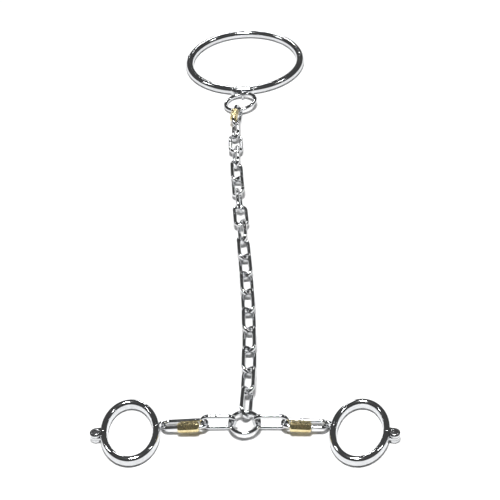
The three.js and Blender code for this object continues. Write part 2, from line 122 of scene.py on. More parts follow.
floor_mesh = bpy.data.meshes.new("floor")
corners = [(-1, -1), (1, -1), (1, 1), (-1, 1)]
floor_points = [(x * FLOOR_HALF, y * FLOOR_HALF, 0) for x, y in corners]
floor_mesh.from_pydata(floor_points, [], [(0, 1, 2, 3)])
floor = bpy.data.objects.new("floor", floor_mesh)
bpy.context.scene.collection.objects.link(floor)
paper = bpy.data.materials.new("pale_paper")
paper.use_nodes = True
paper_shader = paper.node_tree.nodes["Principled BSDF"]
paper_shader.inputs["Base Color"].default_value = (0.93, 0.93, 0.93, 1)
paper_shader.inputs["Roughness"].default_value = 0.9
paper_shader.inputs["Specular IOR Level"].default_value = 0.1
floor_mesh.materials.append(paper)
print("floor", 2 * FLOOR_HALF, "m across")

# %% Lamps and room
LAMPS = {  # place and size in metres, and power in watts
    "overhead": ((0.0, -0.35, 2.1), (0.55, 0.4), 52),
    "left_bank": ((-1.5, 0.5, 1.6), (0.12, 0.5), 4),
    "right_bank": ((1.6, 0.2, 1.7), (0.12, 0.5), 4),
    "back_strip": ((-0.1, 2.3, 1.5), (0.3, 0.2), 4),
}
ROOM_LIGHT = 0.07  # what the steel sees between the lamps
BACKDROP_LIGHT = 0.95  # what the camera sees past the floor


def soft_lamp(name, place, size, power):
    """A flat soft lamp that faces the middle of the floor."""
    data = bpy.data.lights.new(name, "AREA")
    data.shape = "RECTANGLE"
    data.size, data.size_y = size
    data.energy = power
    lamp = bpy.data.objects.new(name, data)
    lamp.location = place
    lamp.rotation_euler = (-Vector(place)).to_track_quat("-Z", "Y").to_euler()
    bpy.context.scene.collection.objects.link(lamp)


for lamp_name, (place, size, power) in LAMPS.items():
    soft_lamp(lamp_name, place, size, power)
room = bpy.data.worlds.new("room")
room.use_nodes = True
walls = room.node_tree.nodes["Background"]
walls.inputs["Color"].default_value = (1, 1, 1, 1)
sight = room.node_tree.nodes.new("ShaderNodeLightPath")
level = room.node_tree.nodes.new("ShaderNodeMapRange")
level.inputs["To Min"].default_value = ROOM_LIGHT
level.inputs["To Max"].default_value = BACKDROP_LIGHT
room.node_tree.links.new(sight.outputs["Is Camera Ray"], level.inputs["Value"])
room.node_tree.links.new(level.outputs[0], walls.inputs["Strength"])
bpy.context.scene.world = room
bpy.context.scene.view_settings.view_transform = "Standard"
print(len(LAMPS), "lamps")

# %% [markdown]
# ## Finishes
# Three finishes cover the set. The wires, the collar and the cuffs are mirror polished, and
# handling leaves faint smudges and hair scratches on them. The pins and screws are turned,
# and they get the same crossing hair scratches, finer and deeper, with a duller shine. The
# nuts are drawn brass bar, with a warmer, softer shine and brown tarnish where a thumb
# doesn't rub. The smudges and the scratches are on more than one finish, so each is a node
# group that is built once.

# %% Node helpers
def new_group(name, inputs, outputs):
    """An empty node group with named number inputs and outputs."""
    group = bpy.data.node_groups.new(name, "ShaderNodeTree")
    for label, value in inputs.items():
        socket = group.interface.new_socket(label, in_out="INPUT", socket_type="NodeSocketFloat")
        socket.default_value = value
    for label in outputs:
        group.interface.new_socket(label, in_out="OUTPUT", socket_type="NodeSocketFloat")
    return group, group.nodes.new("NodeGroupInput"), group.nodes.new("NodeGroupOutput")


def add_node(tree, kind, settings=None, values=None):
    """A node with its settings and its sockets' values."""
    node = tree.nodes.new(kind)
    for key, value in (settings or {}).items():
        setattr(node, key, value)
    for key, value in (values or {}).items():
        node.inputs[key].default_value = value
    return node


def stretch(tree, low, high, new_low, new_high):
    """Maps a number from one range to another, and holds it there."""
    values = {"From Min": low, "From Max": high, "To Min": new_low, "To Max": new_high}
    return add_node(tree, "ShaderNodeMapRange", {"clamp": True}, values)


# %% Smudges: where fingers have been
SMUDGE_START, SMUDGE_FULL = 0.18, 0.42  # noise at which a smudge begins and is whole


def make_smudges():
    """Two sizes of soft noise, multiplied, so that a smudge has a broken edge."""
    group, given, result = new_group("smudges", {"Scale": 60.0}, ["Mask"])
    place = group.nodes.new("ShaderNodeTexCoord")
    wide = add_node(group, "ShaderNodeTexNoise", values={"Detail": 3.0, "Roughness": 0.6})
    fine = add_node(group, "ShaderNodeTexNoise", values={"Detail": 4.0, "Roughness": 0.7})
    finer = add_node(group, "ShaderNodeMath", {"operation": "MULTIPLY"}, {1: 5.0})
    both = add_node(group, "ShaderNodeMath", {"operation": "MULTIPLY"})
    mask = stretch(group, SMUDGE_START, SMUDGE_FULL, 0.0, 1.0)
    join = group.links.new
    join(place.outputs["Object"], wide.inputs["Vector"])
    join(place.outputs["Object"], fine.inputs["Vector"])
    join(given.outputs["Scale"], wide.inputs["Scale"])
    join(given.outputs["Scale"], finer.inputs[0])
    join(finer.outputs[0], fine.inputs["Scale"])
    join(wide.outputs[0], both.inputs[0])
    join(fine.outputs[0], both.inputs[1])
    join(both.outputs[0], mask.inputs["Value"])
    join(mask.outputs[0], result.inputs["Mask"])
    return group


# %% Hair scratches: fine lines in crossing directions
def make_scratches():
    """Noise drawn out along two directions; only its crests are kept, as thin lines."""
    group, given, result = new_group("hair_scratches", {"Scale": 900.0, "Width": 0.06}, ["Height"])
    place = group.nodes.new("ShaderNodeTexCoord")
    join = group.links.new
    lines = []
    for turn in (0.5, 2.0):
        mapping = add_node(group, "ShaderNodeMapping")
        mapping.inputs["Rotation"].default_value = (turn, 0.3, turn)
        mapping.inputs["Scale"].default_value = (1.0, 0.03, 1.0)
        noise = add_node(group, "ShaderNodeTexNoise", values={"Detail": 1.0})
        off = add_node(group, "ShaderNodeMath", {"operation": "SUBTRACT"}, {1: 0.5})
        size = add_node(group, "ShaderNodeMath", {"operation": "ABSOLUTE"})
        line = add_node(group, "ShaderNodeMath", {"operation": "LESS_THAN"})
        join(place.outputs["Object"], mapping.inputs["Vector"])
        join(mapping.outputs[0], noise.inputs["Vector"])
        join(given.outputs["Scale"], noise.inputs["Scale"])
        join(noise.outputs[0], off.inputs[0])
        join(off.outputs[0], size.inputs[0])
        join(size.outputs[0], line.inputs[0])
        join(given.outputs["Width"], line.inputs[1])
        lines.append(line)
    most = add_node(group, "ShaderNodeMath", {"operation": "MAXIMUM"})
    deep = add_node(group, "ShaderNodeMath", {"operation": "SUBTRACT"}, {0: 1.0})
    join(lines[0].outputs[0], most.inputs[0])
    join(lines[1].outputs[0], most.inputs[1])
    join(most.outputs[0], deep.inputs[1])
    join(deep.outputs[0], result.inputs["Height"])
    return group


smudges = make_smudges()
scratches = make_scratches()
print("groups:", smudges.name, scratches.name)


# %% Metals
SCRATCH_HEIGHT = 0.0001  # metres


def metal(name, clean, marked, polish, smudge_scale, scratch_scale, scratch_depth):
    """A metal whose colour and gloss run from clean to marked where the smudges are."""
    made = bpy.data.materials.new(name)
    made.use_nodes = True
    tree = made.node_tree
    shader = tree.nodes["Principled BSDF"]
    shader.inputs["Metallic"].default_value = 1.0
    marks = add_node(tree, "ShaderNodeGroup", {"node_tree": smudges}, {"Scale": smudge_scale})
    lines = add_node(tree, "ShaderNodeGroup", {"node_tree": scratches}, {"Scale": scratch_scale})
    tint = add_node(tree, "ShaderNodeMix", {"data_type": "RGBA"})
    tint.inputs["A"].default_value = (*clean, 1)
    tint.inputs["B"].default_value = (*marked, 1)
    gloss = stretch(tree, 0.0, 1.0, *polish)
    bump = add_node(tree, "ShaderNodeBump", values={
        "Strength": scratch_depth, "Distance": SCRATCH_HEIGHT,
    })
    join = tree.links.new
    join(marks.outputs["Mask"], tint.inputs["Factor"])
    join(tint.outputs["Result"], shader.inputs["Base Color"])
    join(marks.outputs["Mask"], gloss.inputs["Value"])
    join(gloss.outputs[0], shader.inputs["Roughness"])
    join(lines.outputs["Height"], bump.inputs["Height"])
    join(bump.outputs[0], shader.inputs["Normal"])
    return made


FINISHES = {
    "polished_steel": metal(
        "mirror_steel", clean=(0.70, 0.71, 0.725), marked=(0.60, 0.61, 0.62), polish=(0.07, 0.15),
        smudge_scale=55, scratch_scale=700, scratch_depth=0.05,
    ),
    "pin_steel": metal(
        "turned_steel", clean=(0.66, 0.67, 0.685), marked=(0.50, 0.51, 0.525), polish=(0.16, 0.30),
        smudge_scale=150, scratch_scale=1800, scratch_depth=0.15,
    ),
    "brass_nut": metal(
        "drawn_brass", clean=(0.92, 0.80, 0.46), marked=(0.60, 0.46, 0.21), polish=(0.22, 0.36),
        smudge_scale=130, scratch_scale=1500, scratch_depth=0.12,
    ),
}
print("finishes:", sorted(FINISHES))

# %% [markdown]
# ## From a grid to a mesh
# Each surface is a grid of points: one direction goes along the piece and the other goes
# round it. A grid can close on itself in either direction. A row whose points all meet is a
# pole, and merging the points that meet closes it. The faces are then turned outwards, and
# edges sharper than a set angle are kept crisp.

# %% Grid helpers
CRISP = 32  # degrees
MEET, SLIVER = 1e-4, 1e-5  # millimetres: points this close are one, edges this short go


def grid_faces(rows, columns, close_rows, close_columns):
    """Four-cornered faces between the neighbours of a grid, as rows of point numbers."""
    r, c = np.meshgrid(
        np.arange(rows if close_rows else rows - 1),
        np.arange(columns if close_columns else columns - 1),
        indexing="ij",
    )
    r2, c2 = (r + 1) % rows, (c + 1) % columns
    corners = [r * columns + c, r2 * columns + c, r2 * columns + c2, r * columns + c2]
    return np.stack(corners, axis=-1).reshape(-1, 4)


def tidy(mesh):
    """Merges points that meet, drops faces with no area and turns the rest outwards."""
    bm = bmesh.new()
    bm.from_mesh(mesh)
    bmesh.ops.remove_doubles(bm, verts=bm.verts, dist=MEET)
    bmesh.ops.dissolve_degenerate(bm, edges=bm.edges, dist=SLIVER)
    bmesh.ops.recalc_face_normals(bm, faces=bm.faces)
    bm.to_mesh(mesh)
    bm.free()
    return mesh


def grid_mesh(points, close_rows=False, close_columns=True):
    """One closed surface from a grid of points, in millimetres."""
    rows, columns = points.shape[:2]
    faces = grid_faces(rows, columns, close_rows, close_columns)
    mesh = bpy.data.meshes.new("surface")
    mesh.from_pydata(points.reshape(-1, 3).tolist(), [], faces.tolist())
    return tidy(mesh)


def ring_of(count):
    """Angles once round, without the last, which would be the first again."""
    return np.linspace(0, 2 * np.pi, count, endpoint=False)


# %% Cutting and joining solids
def worked(base, tool, how):
    """base with tool cut away (DIFFERENCE), joined on (UNION) or kept in common (INTERSECT)."""
    stock = bpy.data.objects.new("stock", base)
    cutter = bpy.data.objects.new("cutter", tool)
    for thing in (stock, cutter):
        bpy.context.scene.collection.objects.link(thing)
    cut = stock.modifiers.new("cut", "BOOLEAN")
    cut.operation = how
    cut.solver = "EXACT"
    cut.object = cutter
    graph = bpy.context.evaluated_depsgraph_get()
    result = bpy.data.meshes.new_from_object(stock.evaluated_get(graph))
    for thing in (stock, cutter):
        bpy.data.objects.remove(thing)
    return tidy(result)


def cut_away(base, *tools):
    for tool in tools:
        base = worked(base, tool, "DIFFERENCE")
    return base


def joined(base, *tools):
    for tool in tools:
        base = worked(base, tool, "UNION")
    return base


# %% Placing a finished piece
def dress(node, mesh, origin, basis, body, slot):
    """Puts a shape in its place, and lets it stand for the measured piece of that name."""
    place = np.empty(len(mesh.vertices) * 3)
    mesh.vertices.foreach_get("co", place)
    place = (place.reshape(-1, 3) @ np.array(basis) + origin) * MM
    mesh.vertices.foreach_set("co", place.ravel())
    if np.linalg.det(np.array(basis)) < 0:
        mesh.flip_normals()
    mesh.polygons.foreach_set("use_smooth", np.ones(len(mesh.polygons), bool))
    mesh.set_sharp_from_angle(angle=math.radians(CRISP))
    mesh.materials.clear()
    mesh.materials.append(FINISHES[slot])
    mesh.update()
    piece = bpy.data.objects.new(f"{node}_smooth", mesh)
    bpy.context.scene.collection.objects.link(piece)
    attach(piece, body)
    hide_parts(node)
    print(piece.name, len(mesh.polygons), "faces")
    return piece


# %% [markdown]
# ## Links and rings
# A welded link is a round wire bent to two half circles and two straights, then butted and
# welded in the middle of one straight. The weld leaves a low swelling, which is shown here.
# A ring is the same with no straights. Both are a circle carried along a flat closed path.

# %% Wire along a flat path
WIRE_ROUND = 28  # points round a wire
ARC_STEPS = 26  # points along each half circle
SIDE_STEPS = 14  # points along a straight, with its two ends
WELD_RISE = 0.045  # share of the wire's radius
WELD_REACH = 1.3  # millimetres
WIRE_EASE = 0.96  # drawn thinner, nearer the bulk of the measured eight-sided wire


def oval_path(straight, radius):
    """Half circles at both ends of a straight: points and outward directions."""
    arc = np.linspace(0, np.pi, ARC_STEPS)
    side = np.linspace(-straight, straight, SIDE_STEPS)[1:-1]
    flat = np.zeros_like(side)
    if straight < 1e-6:
        side, flat = side[:0], flat[:0]
    x = np.concatenate([radius * np.cos(arc), flat - radius, -radius * np.cos(arc), flat + radius])
    y = np.concatenate([
        straight + radius * np.sin(arc), -side, -straight - radius * np.sin(arc), side,
    ])
    out_x = np.concatenate([np.cos(arc), flat - 1, -np.cos(arc), flat + 1])
    out_y = np.concatenate([np.sin(arc), flat, -np.sin(arc), flat])
    return np.stack([x, y], 1), np.stack([out_x, out_y], 1)


def carried_circle(path, outward, radii):
    """Each path point gets a circle: out from the path by a cosine, up by a sine."""
    turn = ring_of(WIRE_ROUND)
    radii = radii * WIRE_EASE
    across = radii[:, None] * np.cos(turn)
    points = np.empty((len(path), WIRE_ROUND, 3))
    points[..., :2] = path[:, None] + across[..., None] * outward[:, None]
    points[..., 2] = radii[:, None] * np.sin(turn)
    return points


def link_shape(width, length, wire, weld=True):
    """A closed oval link, with a low swelling where its ends are welded together."""
    straight, radius = (length - width) / 2, (width - wire) / 2
    path, outward = oval_path(straight, radius)
    away = np.hypot(path[:, 0] - radius, path[:, 1])
    radii = wire / 2 * (1 + WELD_RISE * weld * np.exp(-((away / WELD_REACH) ** 2)))
    return grid_mesh(carried_circle(path, outward, radii), close_rows=True)


# %% Where a link lies
def link_place(node, end_joint):
    """A link's middle, with its across, along and upright directions as rows."""
    centre = middle(node)
    along = unit(joint_point(end_joint) - centre)
    across = joint_axis(end_joint)
    across = across if across[2] > 0 else -across  # the welded side is the raised one
    upright = unit(np.cross(across, along))
    return centre, np.stack([np.cross(along, upright), along, upright])


CHAIN_WIRE, CHAIN_WIDTH, CHAIN_LENGTH = 4.2, 16.5, 35.45
CHAIN_COUNT = sum(name.startswith("chain_link") for name in frame["nodes"])

for number in range(1, CHAIN_COUNT + 1):
    name = f"chain_link_{number:02d}"
    last = number == CHAIN_COUNT
    end_joint = "neck_quick_link_swing" if last else f"chain_swing_{number + 1:02d}"
    shape = link_shape(CHAIN_WIDTH, CHAIN_LENGTH, CHAIN_WIRE)
    dress(name, shape, *link_place(name, end_joint), name, "polished_steel")

# %% Side links, centre ring and neck ring
SIDE_LENGTH = 32.8
CENTRE_RING, CENTRE_WIRE = 29.0, 3.8
NECK_RING, NECK_WIRE = 40.0, 4.5

for side in ("left", "right"):
    name = f"{side}_side_link"
    shape = link_shape(CHAIN_WIDTH, SIDE_LENGTH, CHAIN_WIRE)
    dress(name, shape, *link_place(name, f"{side}_quick_link_swing"), name, "polished_steel")

shape = link_shape(CENTRE_RING, CENTRE_RING, CENTRE_WIRE)
dress("centre_ring", shape, middle("centre_ring"), np.eye(3), "centre_ring", "polished_steel")
shape = link_shape(NECK_RING, NECK_RING, NECK_WIRE)
dress("neck_o_ring", shape, *link_place("neck_o_ring", "collar_swing"), "neck_o_ring",
      "polished_steel")

# %% [markdown]
# ## Quick links
# A quick link is an oval of wire with a gap in one side. Both wire ends are threaded, and a
# long hexagonal nut runs on one of them until it bridges the gap. The thread shows when the
# nut is run back, so it is cut into the wire: its radius falls and rises in a spiral.

# %% Quick link wire
QUICK_WIRE, QUICK_WIDTH, QUICK_LENGTH = 4.0, 14.5, 42.0
NUT_FLATS, NUT_LENGTH = 7.8, 18.2
NUT_BORE = 4.6
GAP_LOW, GAP_HIGH = -10.85, -6.05
THREAD_PITCH, THREAD_DEPTH, THREAD_LENGTH = 0.8, 0.28, 9.0
SHORT_THREAD = GAP_LOW + 13.5  # the thread on the other wire end
END_ROUND = 0.5
PATH_STEP = 0.1  # along the threaded straights


def quick_path():
    """The oval from one side of the gap round to the other, in small even steps."""
    straight, radius = (QUICK_LENGTH - QUICK_WIDTH) / 2, (QUICK_WIDTH - QUICK_WIRE) / 2
    down = np.arange(straight, GAP_HIGH, -PATH_STEP)
    down = np.append(down, GAP_HIGH)
    low = np.arange(-straight, GAP_LOW, PATH_STEP)
    low = np.append(low, GAP_LOW)[::-1]
    arc = np.linspace(0, np.pi, ARC_STEPS)
    side = np.linspace(-straight, straight, SIDE_STEPS)[1:-1]
    # from the low wire end, round the near end, up the plain side, round the far end, to the gap
    parts = [
        (np.full(len(low), -radius), low, -1.0, 0.0),
        (-radius * np.cos(arc), -straight - radius * np.sin(arc), -np.cos(arc), -np.sin(arc)),
        (np.full(len(side), radius), side, 1.0, 0.0),
        (radius * np.cos(arc), straight + radius * np.sin(arc), np.cos(arc), np.sin(arc)),
        (np.full(len(down), -radius), down, -1.0, 0.0),
    ]
    x = np.concatenate([p[0] for p in parts])
    y = np.concatenate([p[1] for p in parts])
    out_x = np.concatenate([np.broadcast_to(p[2], len(p[0])) for p in parts])
    out_y = np.concatenate([np.broadcast_to(p[3], len(p[0])) for p in parts])
    keep = np.append(True, np.hypot(np.diff(x), np.diff(y)) > 1e-6)
    return np.stack([x, y], 1)[keep], np.stack([out_x, out_y], 1)[keep]


def quick_shape():
    """The wire, threaded by a spiral: the depth follows the length plus a share of the turn."""
    path, outward = quick_path()
    along = np.append(0, np.cumsum(np.hypot(*np.diff(path, axis=0).T)))
    to_end = along[-1] - along
    turn = ring_of(WIRE_ROUND)
    points = carried_circle(path, outward, np.ones(len(path)))
    radii = np.full(points.shape[:2], QUICK_WIRE / 2)  # the circle is eased already
    for distance, limit in ((along, SHORT_THREAD), (to_end, THREAD_LENGTH)):
        spiral = 0.5 - 0.5 * np.cos(2 * np.pi * distance[:, None] / THREAD_PITCH + turn)
        fade = np.clip((limit - distance) / THREAD_PITCH, 0, 1)[:, None]
        radii -= THREAD_DEPTH * spiral * fade
        nose = np.clip(1 - distance / END_ROUND, 0, 1)[:, None]
        radii -= END_ROUND * nose
    centre = np.zeros_like(points)
    centre[..., :2] = path[:, None]
    points = centre + (points - centre) * radii[..., None]
    poles = [centre[:1], points, centre[-1:]]
    return grid_mesh(np.concatenate(poles))


# %% Hexagonal nut
CORNER_SOFTNESS = 60  # a higher power gives a sharper corner
NUT_COLUMNS = 96
NUT_CHAMFER = [(0.0, 0.44), (0.35, 0.49), (0.8, 0.545), (1.3, 0.6)]  # depth, share of the flats
NUT_PLAIN = 1.8  # the hexagon is whole from this far inside each end
NUT_RIM = 0.35  # bevel at the hole
NO_LIMIT = 99.0


def hexagon(turn, flats):
    """Distance to a hexagon's side, with corners softened by a power mean of its six sides."""
    facing = np.cos(turn[:, None] - np.pi / 6 - np.arange(6) * np.pi / 3)
    most = np.sum(np.maximum(facing, 0) ** CORNER_SOFTNESS, axis=1) ** (1 / CORNER_SOFTNESS)
    return flats / 2 / most


def nut_shape():
    """A hexagon bar with both ends turned to a cone, and a plain hole along its middle."""
    turn = ring_of(NUT_COLUMNS)
    side = hexagon(turn, NUT_FLATS)
    half, bore = NUT_LENGTH / 2, NUT_BORE / 2
    chamfer = [(depth, NUT_FLATS * share) for depth, share in NUT_CHAMFER]
    hole = np.full(NUT_COLUMNS, bore)
    outer = [(-half + depth, limit) for depth, limit in chamfer]
    outer += [(y, NO_LIMIT) for y in np.linspace(-half + NUT_PLAIN, half - NUT_PLAIN, 8)]
    outer += [(half - depth, limit) for depth, limit in reversed(chamfer)]
    rows = [(y, np.minimum(side, limit)) for y, limit in outer]
    rows += [(half, hole + NUT_RIM), (half - NUT_RIM, hole)]
    rows += [(NUT_RIM - half, hole), (-half, hole + NUT_RIM)]
    points = np.array([
        np.stack([radius * np.cos(turn), np.full(NUT_COLUMNS, y), radius * np.sin(turn)], 1)
        for y, radius in rows
    ])
    return grid_mesh(points, close_rows=True)


# %% Place the quick links
def quick_place(side, end_joint):
    """As for a link, but turned so that the nut lies on the side at negative X."""
    centre, basis = link_place(f"{side}_quick_link_body", end_joint)
    to_nut = middle(f"{side}_quick_link_nut") - centre
    along = basis[1] * -np.sign(to_nut @ basis[1])
    across = unit(-(to_nut - (to_nut @ along) * along))
    return centre, np.stack([across, along, np.cross(across, along)])


for side, end_joint in (
    ("left", "left_cuff_swing"), ("right", "right_cuff_swing"), ("neck", "neck_ring_swing"),
):
    centre, basis = quick_place(side, end_joint)
    body = f"{side}_quick_link"
    dress(f"{body}_body", quick_shape(), centre, basis, body, "polished_steel")
    dress(f"{body}_nut", nut_shape(), middle(f"{body}_nut"), basis, f"{body}_nut", "brass_nut")

# %% [markdown]
# ## Collar
# The collar is one round bar bent to a ring and sawn into two halves. At the hinge the halves
# overlap in three round ears on a riveted pin. At the lock a tongue on the rear half slides
# into a pocket in the front half, and a small screw holds it. The bar is a surface with
# rounded ends, and the ears, holes and pocket are cut from it and joined to it as solids.

# %% Collar sizes
COLLAR_RADIUS, BAR_RADIUS = 67.75, 4.75
SPLIT_BACK, SPLIT_GAP = 8.5, 0.3
COLLAR_PIN_SPOT, COLLAR_SCREW_SPOT = (-68.715, 8.5), (67.215, 4.34)
COLLAR_EAR, COLLAR_EAR_SIZE, EAR_GAP = 1.4725, 8.6, 0.4
COLLAR_SEAT = 3.3  # the pin's heads sit on flats at this height
BAR_ROUND, BAR_STEPS = 56, 120
END_FILLET = 0.35
ROUND_STEPS = 56  # points round a turned piece
STAPLE_FIT = 0.3  # gap between the bar and what wraps it


def spin_surface(outline, spot=(0.0, 0.0), count=ROUND_STEPS):
    """A turned piece: each [radius, height] of the outline is carried round an upright axis."""
    turn = ring_of(count)
    radius, height = np.array(outline, float).T
    points = np.empty((len(outline), count, 3))
    points[..., 0] = spot[0] + radius[:, None] * np.cos(turn)
    points[..., 1] = spot[1] + radius[:, None] * np.sin(turn)
    points[..., 2] = height[:, None]
    return grid_mesh(points)


def post(size, spot, low, high):
    return spin_surface([(0, low), (size / 2, low), (size / 2, high), (0, high)], spot)


def block(low, high):
    """A plain block between two corners, as a square swept upwards."""
    (x0, y0, z0), (x1, y1, z1) = low, high
    square = np.array([[x0, y0], [x1, y0], [x1, y1], [x0, y1]], float)
    core = np.array([(x0 + x1) / 2, (y0 + y1) / 2])
    rows = [(z0, 0.0), (z0, 1.0), (z1, 1.0), (z1, 0.0)]
    points = np.array([
        np.column_stack([core + (square - core) * share, np.full(4, z)]) for z, share in rows
    ])
    return grid_mesh(points)


# %% Bent bar with flat rounded ends
def fillet(depth, steps=5):
    """A quarter circle at an end's rim: [loss of radius, distance from the end]."""
    turn = np.linspace(0, np.pi / 2, steps)
    return np.stack([depth * (1 - np.sin(turn)), depth * (1 - np.cos(turn))], 1)


def closed_side(row, steps, depth):
    """Rows from one flat end to the other: a pole, a fillet, the long part, and back again."""
    rim = [(loss, inset) for loss, inset in fillet(depth)]
    rows = [row(0.0, None, 0.0)] + [row(0.0, loss, inset) for loss, inset in rim]
    rows += [row(share, 0.0, depth) for share in np.linspace(0, 1, steps)[1:-1]]
    rows += [row(1.0, loss, inset) for loss, inset in reversed(rim)] + [row(1.0, None, 0.0)]
    return grid_mesh(np.array(rows))


def bar_side(sign, spare=6.0):
    """
    The bar on one side of the saw cut, with some to spare at the hinge for its ears. A turn
    round the bar gives each point its height and its distance from the collar's middle, and
    a row ends where that meets the plane of the cut.
    """
    turn = ring_of(BAR_ROUND)

    def row(share, loss, inset):
        radius = 0.0 if loss is None else BAR_RADIUS - loss
        reach = COLLAR_RADIUS + radius * np.cos(turn)
        at_lock = np.arcsin((SPLIT_BACK + sign * (SPLIT_GAP / 2 + inset)) / reach)
        at_hinge = np.pi - np.arcsin((SPLIT_BACK - sign * (spare - inset)) / reach)
        far = at_lock if sign > 0 else at_lock + 2 * np.pi
        angle = far + share * (at_hinge - far)
        return np.stack([reach * np.cos(angle), reach * np.sin(angle), radius * np.sin(turn)], 1)

    return closed_side(row, BAR_STEPS, END_FILLET)


def whole_bar(radius):
    """The bar before it is sawn, or a wider one to cut its place from another piece."""
    turn = ring_of(2 * BAR_STEPS)
    path = np.stack([np.cos(turn), np.sin(turn)], 1)
    round_it = ring_of(BAR_ROUND)
    points = np.empty((len(turn), BAR_ROUND, 3))
    reach = COLLAR_RADIUS + radius * np.cos(round_it)
    points[..., :2] = path[:, None] * reach[None, :, None]
    points[..., 2] = radius * np.sin(round_it)
    return grid_mesh(points, close_rows=True)


# %% Collar halves
FAR = 20.0  # well past any face
PIN_PLAY = 0.6
COLLAR_PIN, COLLAR_HEAD = 2.8, 4.8
TONGUE = (1.7, 8.0, 1.7)  # half width, length and half height
TONGUE_ROOM = 0.5
COLLAR_SCREW, COLLAR_SCREW_ENDS = 2.4, (2.0, 4.45)
COLLAR_HEAD_DEPTH = 1.45
ROOM_OUT, ROOM_IN = 12, 22  # how far the hinge room goes each way from the bar


def hinge_room(sign, own, other):
    """What a half gives up at the hinge: all past the cut and the other's ears, but not its own."""
    pin = COLLAR_PIN_SPOT
    near, far = sorted((SPLIT_BACK + sign * SPLIT_GAP / 2, SPLIT_BACK - sign * FAR))
    room = block((-COLLAR_RADIUS - ROOM_OUT, near, -FAR), (-COLLAR_RADIUS + ROOM_IN, far, FAR))
    room = joined(room, *(post(COLLAR_EAR_SIZE + 2 * EAR_GAP, pin, *ends) for ends in other))
    return cut_away(room, *(post(COLLAR_EAR_SIZE, pin, *ends) for ends in own))


def collar_front():
    half, length, high = TONGUE
    x, y = COLLAR_SCREW_SPOT[0], SPLIT_BACK
    pocket = block(
        (x - half - TONGUE_ROOM, y - length - TONGUE_ROOM, -high - EAR_GAP),
        (x + half + TONGUE_ROOM, y + 1, high + EAR_GAP),
    )
    room = hinge_room(
        -1, [(-COLLAR_EAR, COLLAR_EAR)], [(COLLAR_EAR, FAR + 1), (-FAR - 1, -COLLAR_EAR)],
    )
    return cut_away(
        bar_side(-1), room, post(COLLAR_PIN + PIN_PLAY, COLLAR_PIN_SPOT, -FAR, FAR), pocket,
        post(COLLAR_SCREW + PIN_PLAY, COLLAR_SCREW_SPOT, 0, FAR),
    )


def collar_rear():
    pin, low = COLLAR_PIN_SPOT, COLLAR_EAR + EAR_GAP
    half, length, high = TONGUE
    x, y = COLLAR_SCREW_SPOT[0], SPLIT_BACK
    tongue = block((x - half, y - length, -high), (x + half, y + 2, high))
    room = hinge_room(1, [(low, FAR + 1), (-FAR - 1, -low)], [(-low, low)])
    seat = COLLAR_HEAD + PIN_PLAY
    base = cut_away(
        bar_side(1), room, post(COLLAR_PIN + PIN_PLAY, pin, -FAR, FAR),
        post(seat, pin, COLLAR_SEAT, FAR), post(seat, pin, -FAR, -COLLAR_SEAT),
    )
    return joined(base, tongue)


# %% Staple on the collar's front
SADDLE_HALF_ANGLE = 27 / 147.4  # radians round the collar
SADDLE_WRAP, SADDLE_THICK = math.radians(62), 2.4
EYE_HOLE, EYE_WIRE, EYE_TURN = 6.2, 2.6, math.radians(12)
EYE_PLACE = (0.0, -78.0, 0.95)
END_THINNING, EDGE_THINNING = 0.6, 0.55  # shares of the saddle that its ends and edges lose


def saddle():
    """A crescent on the bar: thick in the middle, thinner to its edges and to both ends."""
    lap = np.linspace(-1, 1, 25)
    inner = BAR_RADIUS + STAPLE_FIT
    rows = []
    for share in np.concatenate([[-1], np.linspace(-1, 1, 41), [1]]):
        thick = SADDLE_THICK * (1 - END_THINNING * abs(share) ** 8) * (1 - EDGE_THINNING * lap ** 4)
        around = np.concatenate([lap, lap[::-1]]) * SADDLE_WRAP
        out = np.concatenate([inner + thick, np.full(len(lap), inner)])
        angle = -np.pi / 2 + share * SADDLE_HALF_ANGLE
        reach = COLLAR_RADIUS + out * np.cos(around)
        rows.append(np.stack(
            [reach * np.cos(angle), reach * np.sin(angle), out * np.sin(around)], 1,
        ))
    rows[0] = np.broadcast_to(rows[0].mean(0), rows[0].shape)
    rows[-1] = np.broadcast_to(rows[-1].mean(0), rows[-1].shape)
    return grid_mesh(np.array(rows))


def staple():
    eye = link_shape(EYE_HOLE + 2 * EYE_WIRE, EYE_HOLE + 2 * EYE_WIRE, EYE_WIRE, weld=False)
    place = np.empty(len(eye.vertices) * 3)
    eye.vertices.foreach_get("co", place)
    x, y, z = place.reshape(-1, 3).T
    turn_x, turn_y = np.cos(EYE_TURN), np.sin(EYE_TURN)
    stood = np.stack([z * turn_x - y * turn_y, z * turn_y + y * turn_x, -x], 1) + EYE_PLACE
    eye.vertices.foreach_set("co", stood.ravel())
    trimmed = cut_away(eye, whole_bar(BAR_RADIUS + STAPLE_FIT))
    floor_cut = block((-40, -145, -FAR), (40, 0, -BAR_RADIUS))
    return cut_away(joined(saddle(), trimmed), floor_cut)


# %% Pins and screws
HEAD_FIT, HEAD_RIM, HEAD_BEVEL = 0.3, 0.12, 0.1
SCREW_TIP, SCREW_RIM = 0.2, 0.12
SOCKET_SHARE, SOCKET_DEPTH, SOCKET_POINT = 0.47, 1.0, 1.15


def rivet(shank, head, half, depth, spot):
    """A turned pin with a dome at both ends: each dome is a quarter of an ellipse."""
    rim = half - depth + HEAD_FIT
    curl = np.linspace(0, np.pi / 2, 9)
    foot = rim + HEAD_RIM
    dome = np.stack([head / 2 * np.cos(curl), foot + (half - foot) * np.sin(curl)], 1)
    upper = np.concatenate([[(shank / 2, rim), (head / 2 - HEAD_BEVEL, rim)], dome])
    lower = upper[::-1] * (1, -1)
    return spin_surface(np.concatenate([lower, upper]), spot)


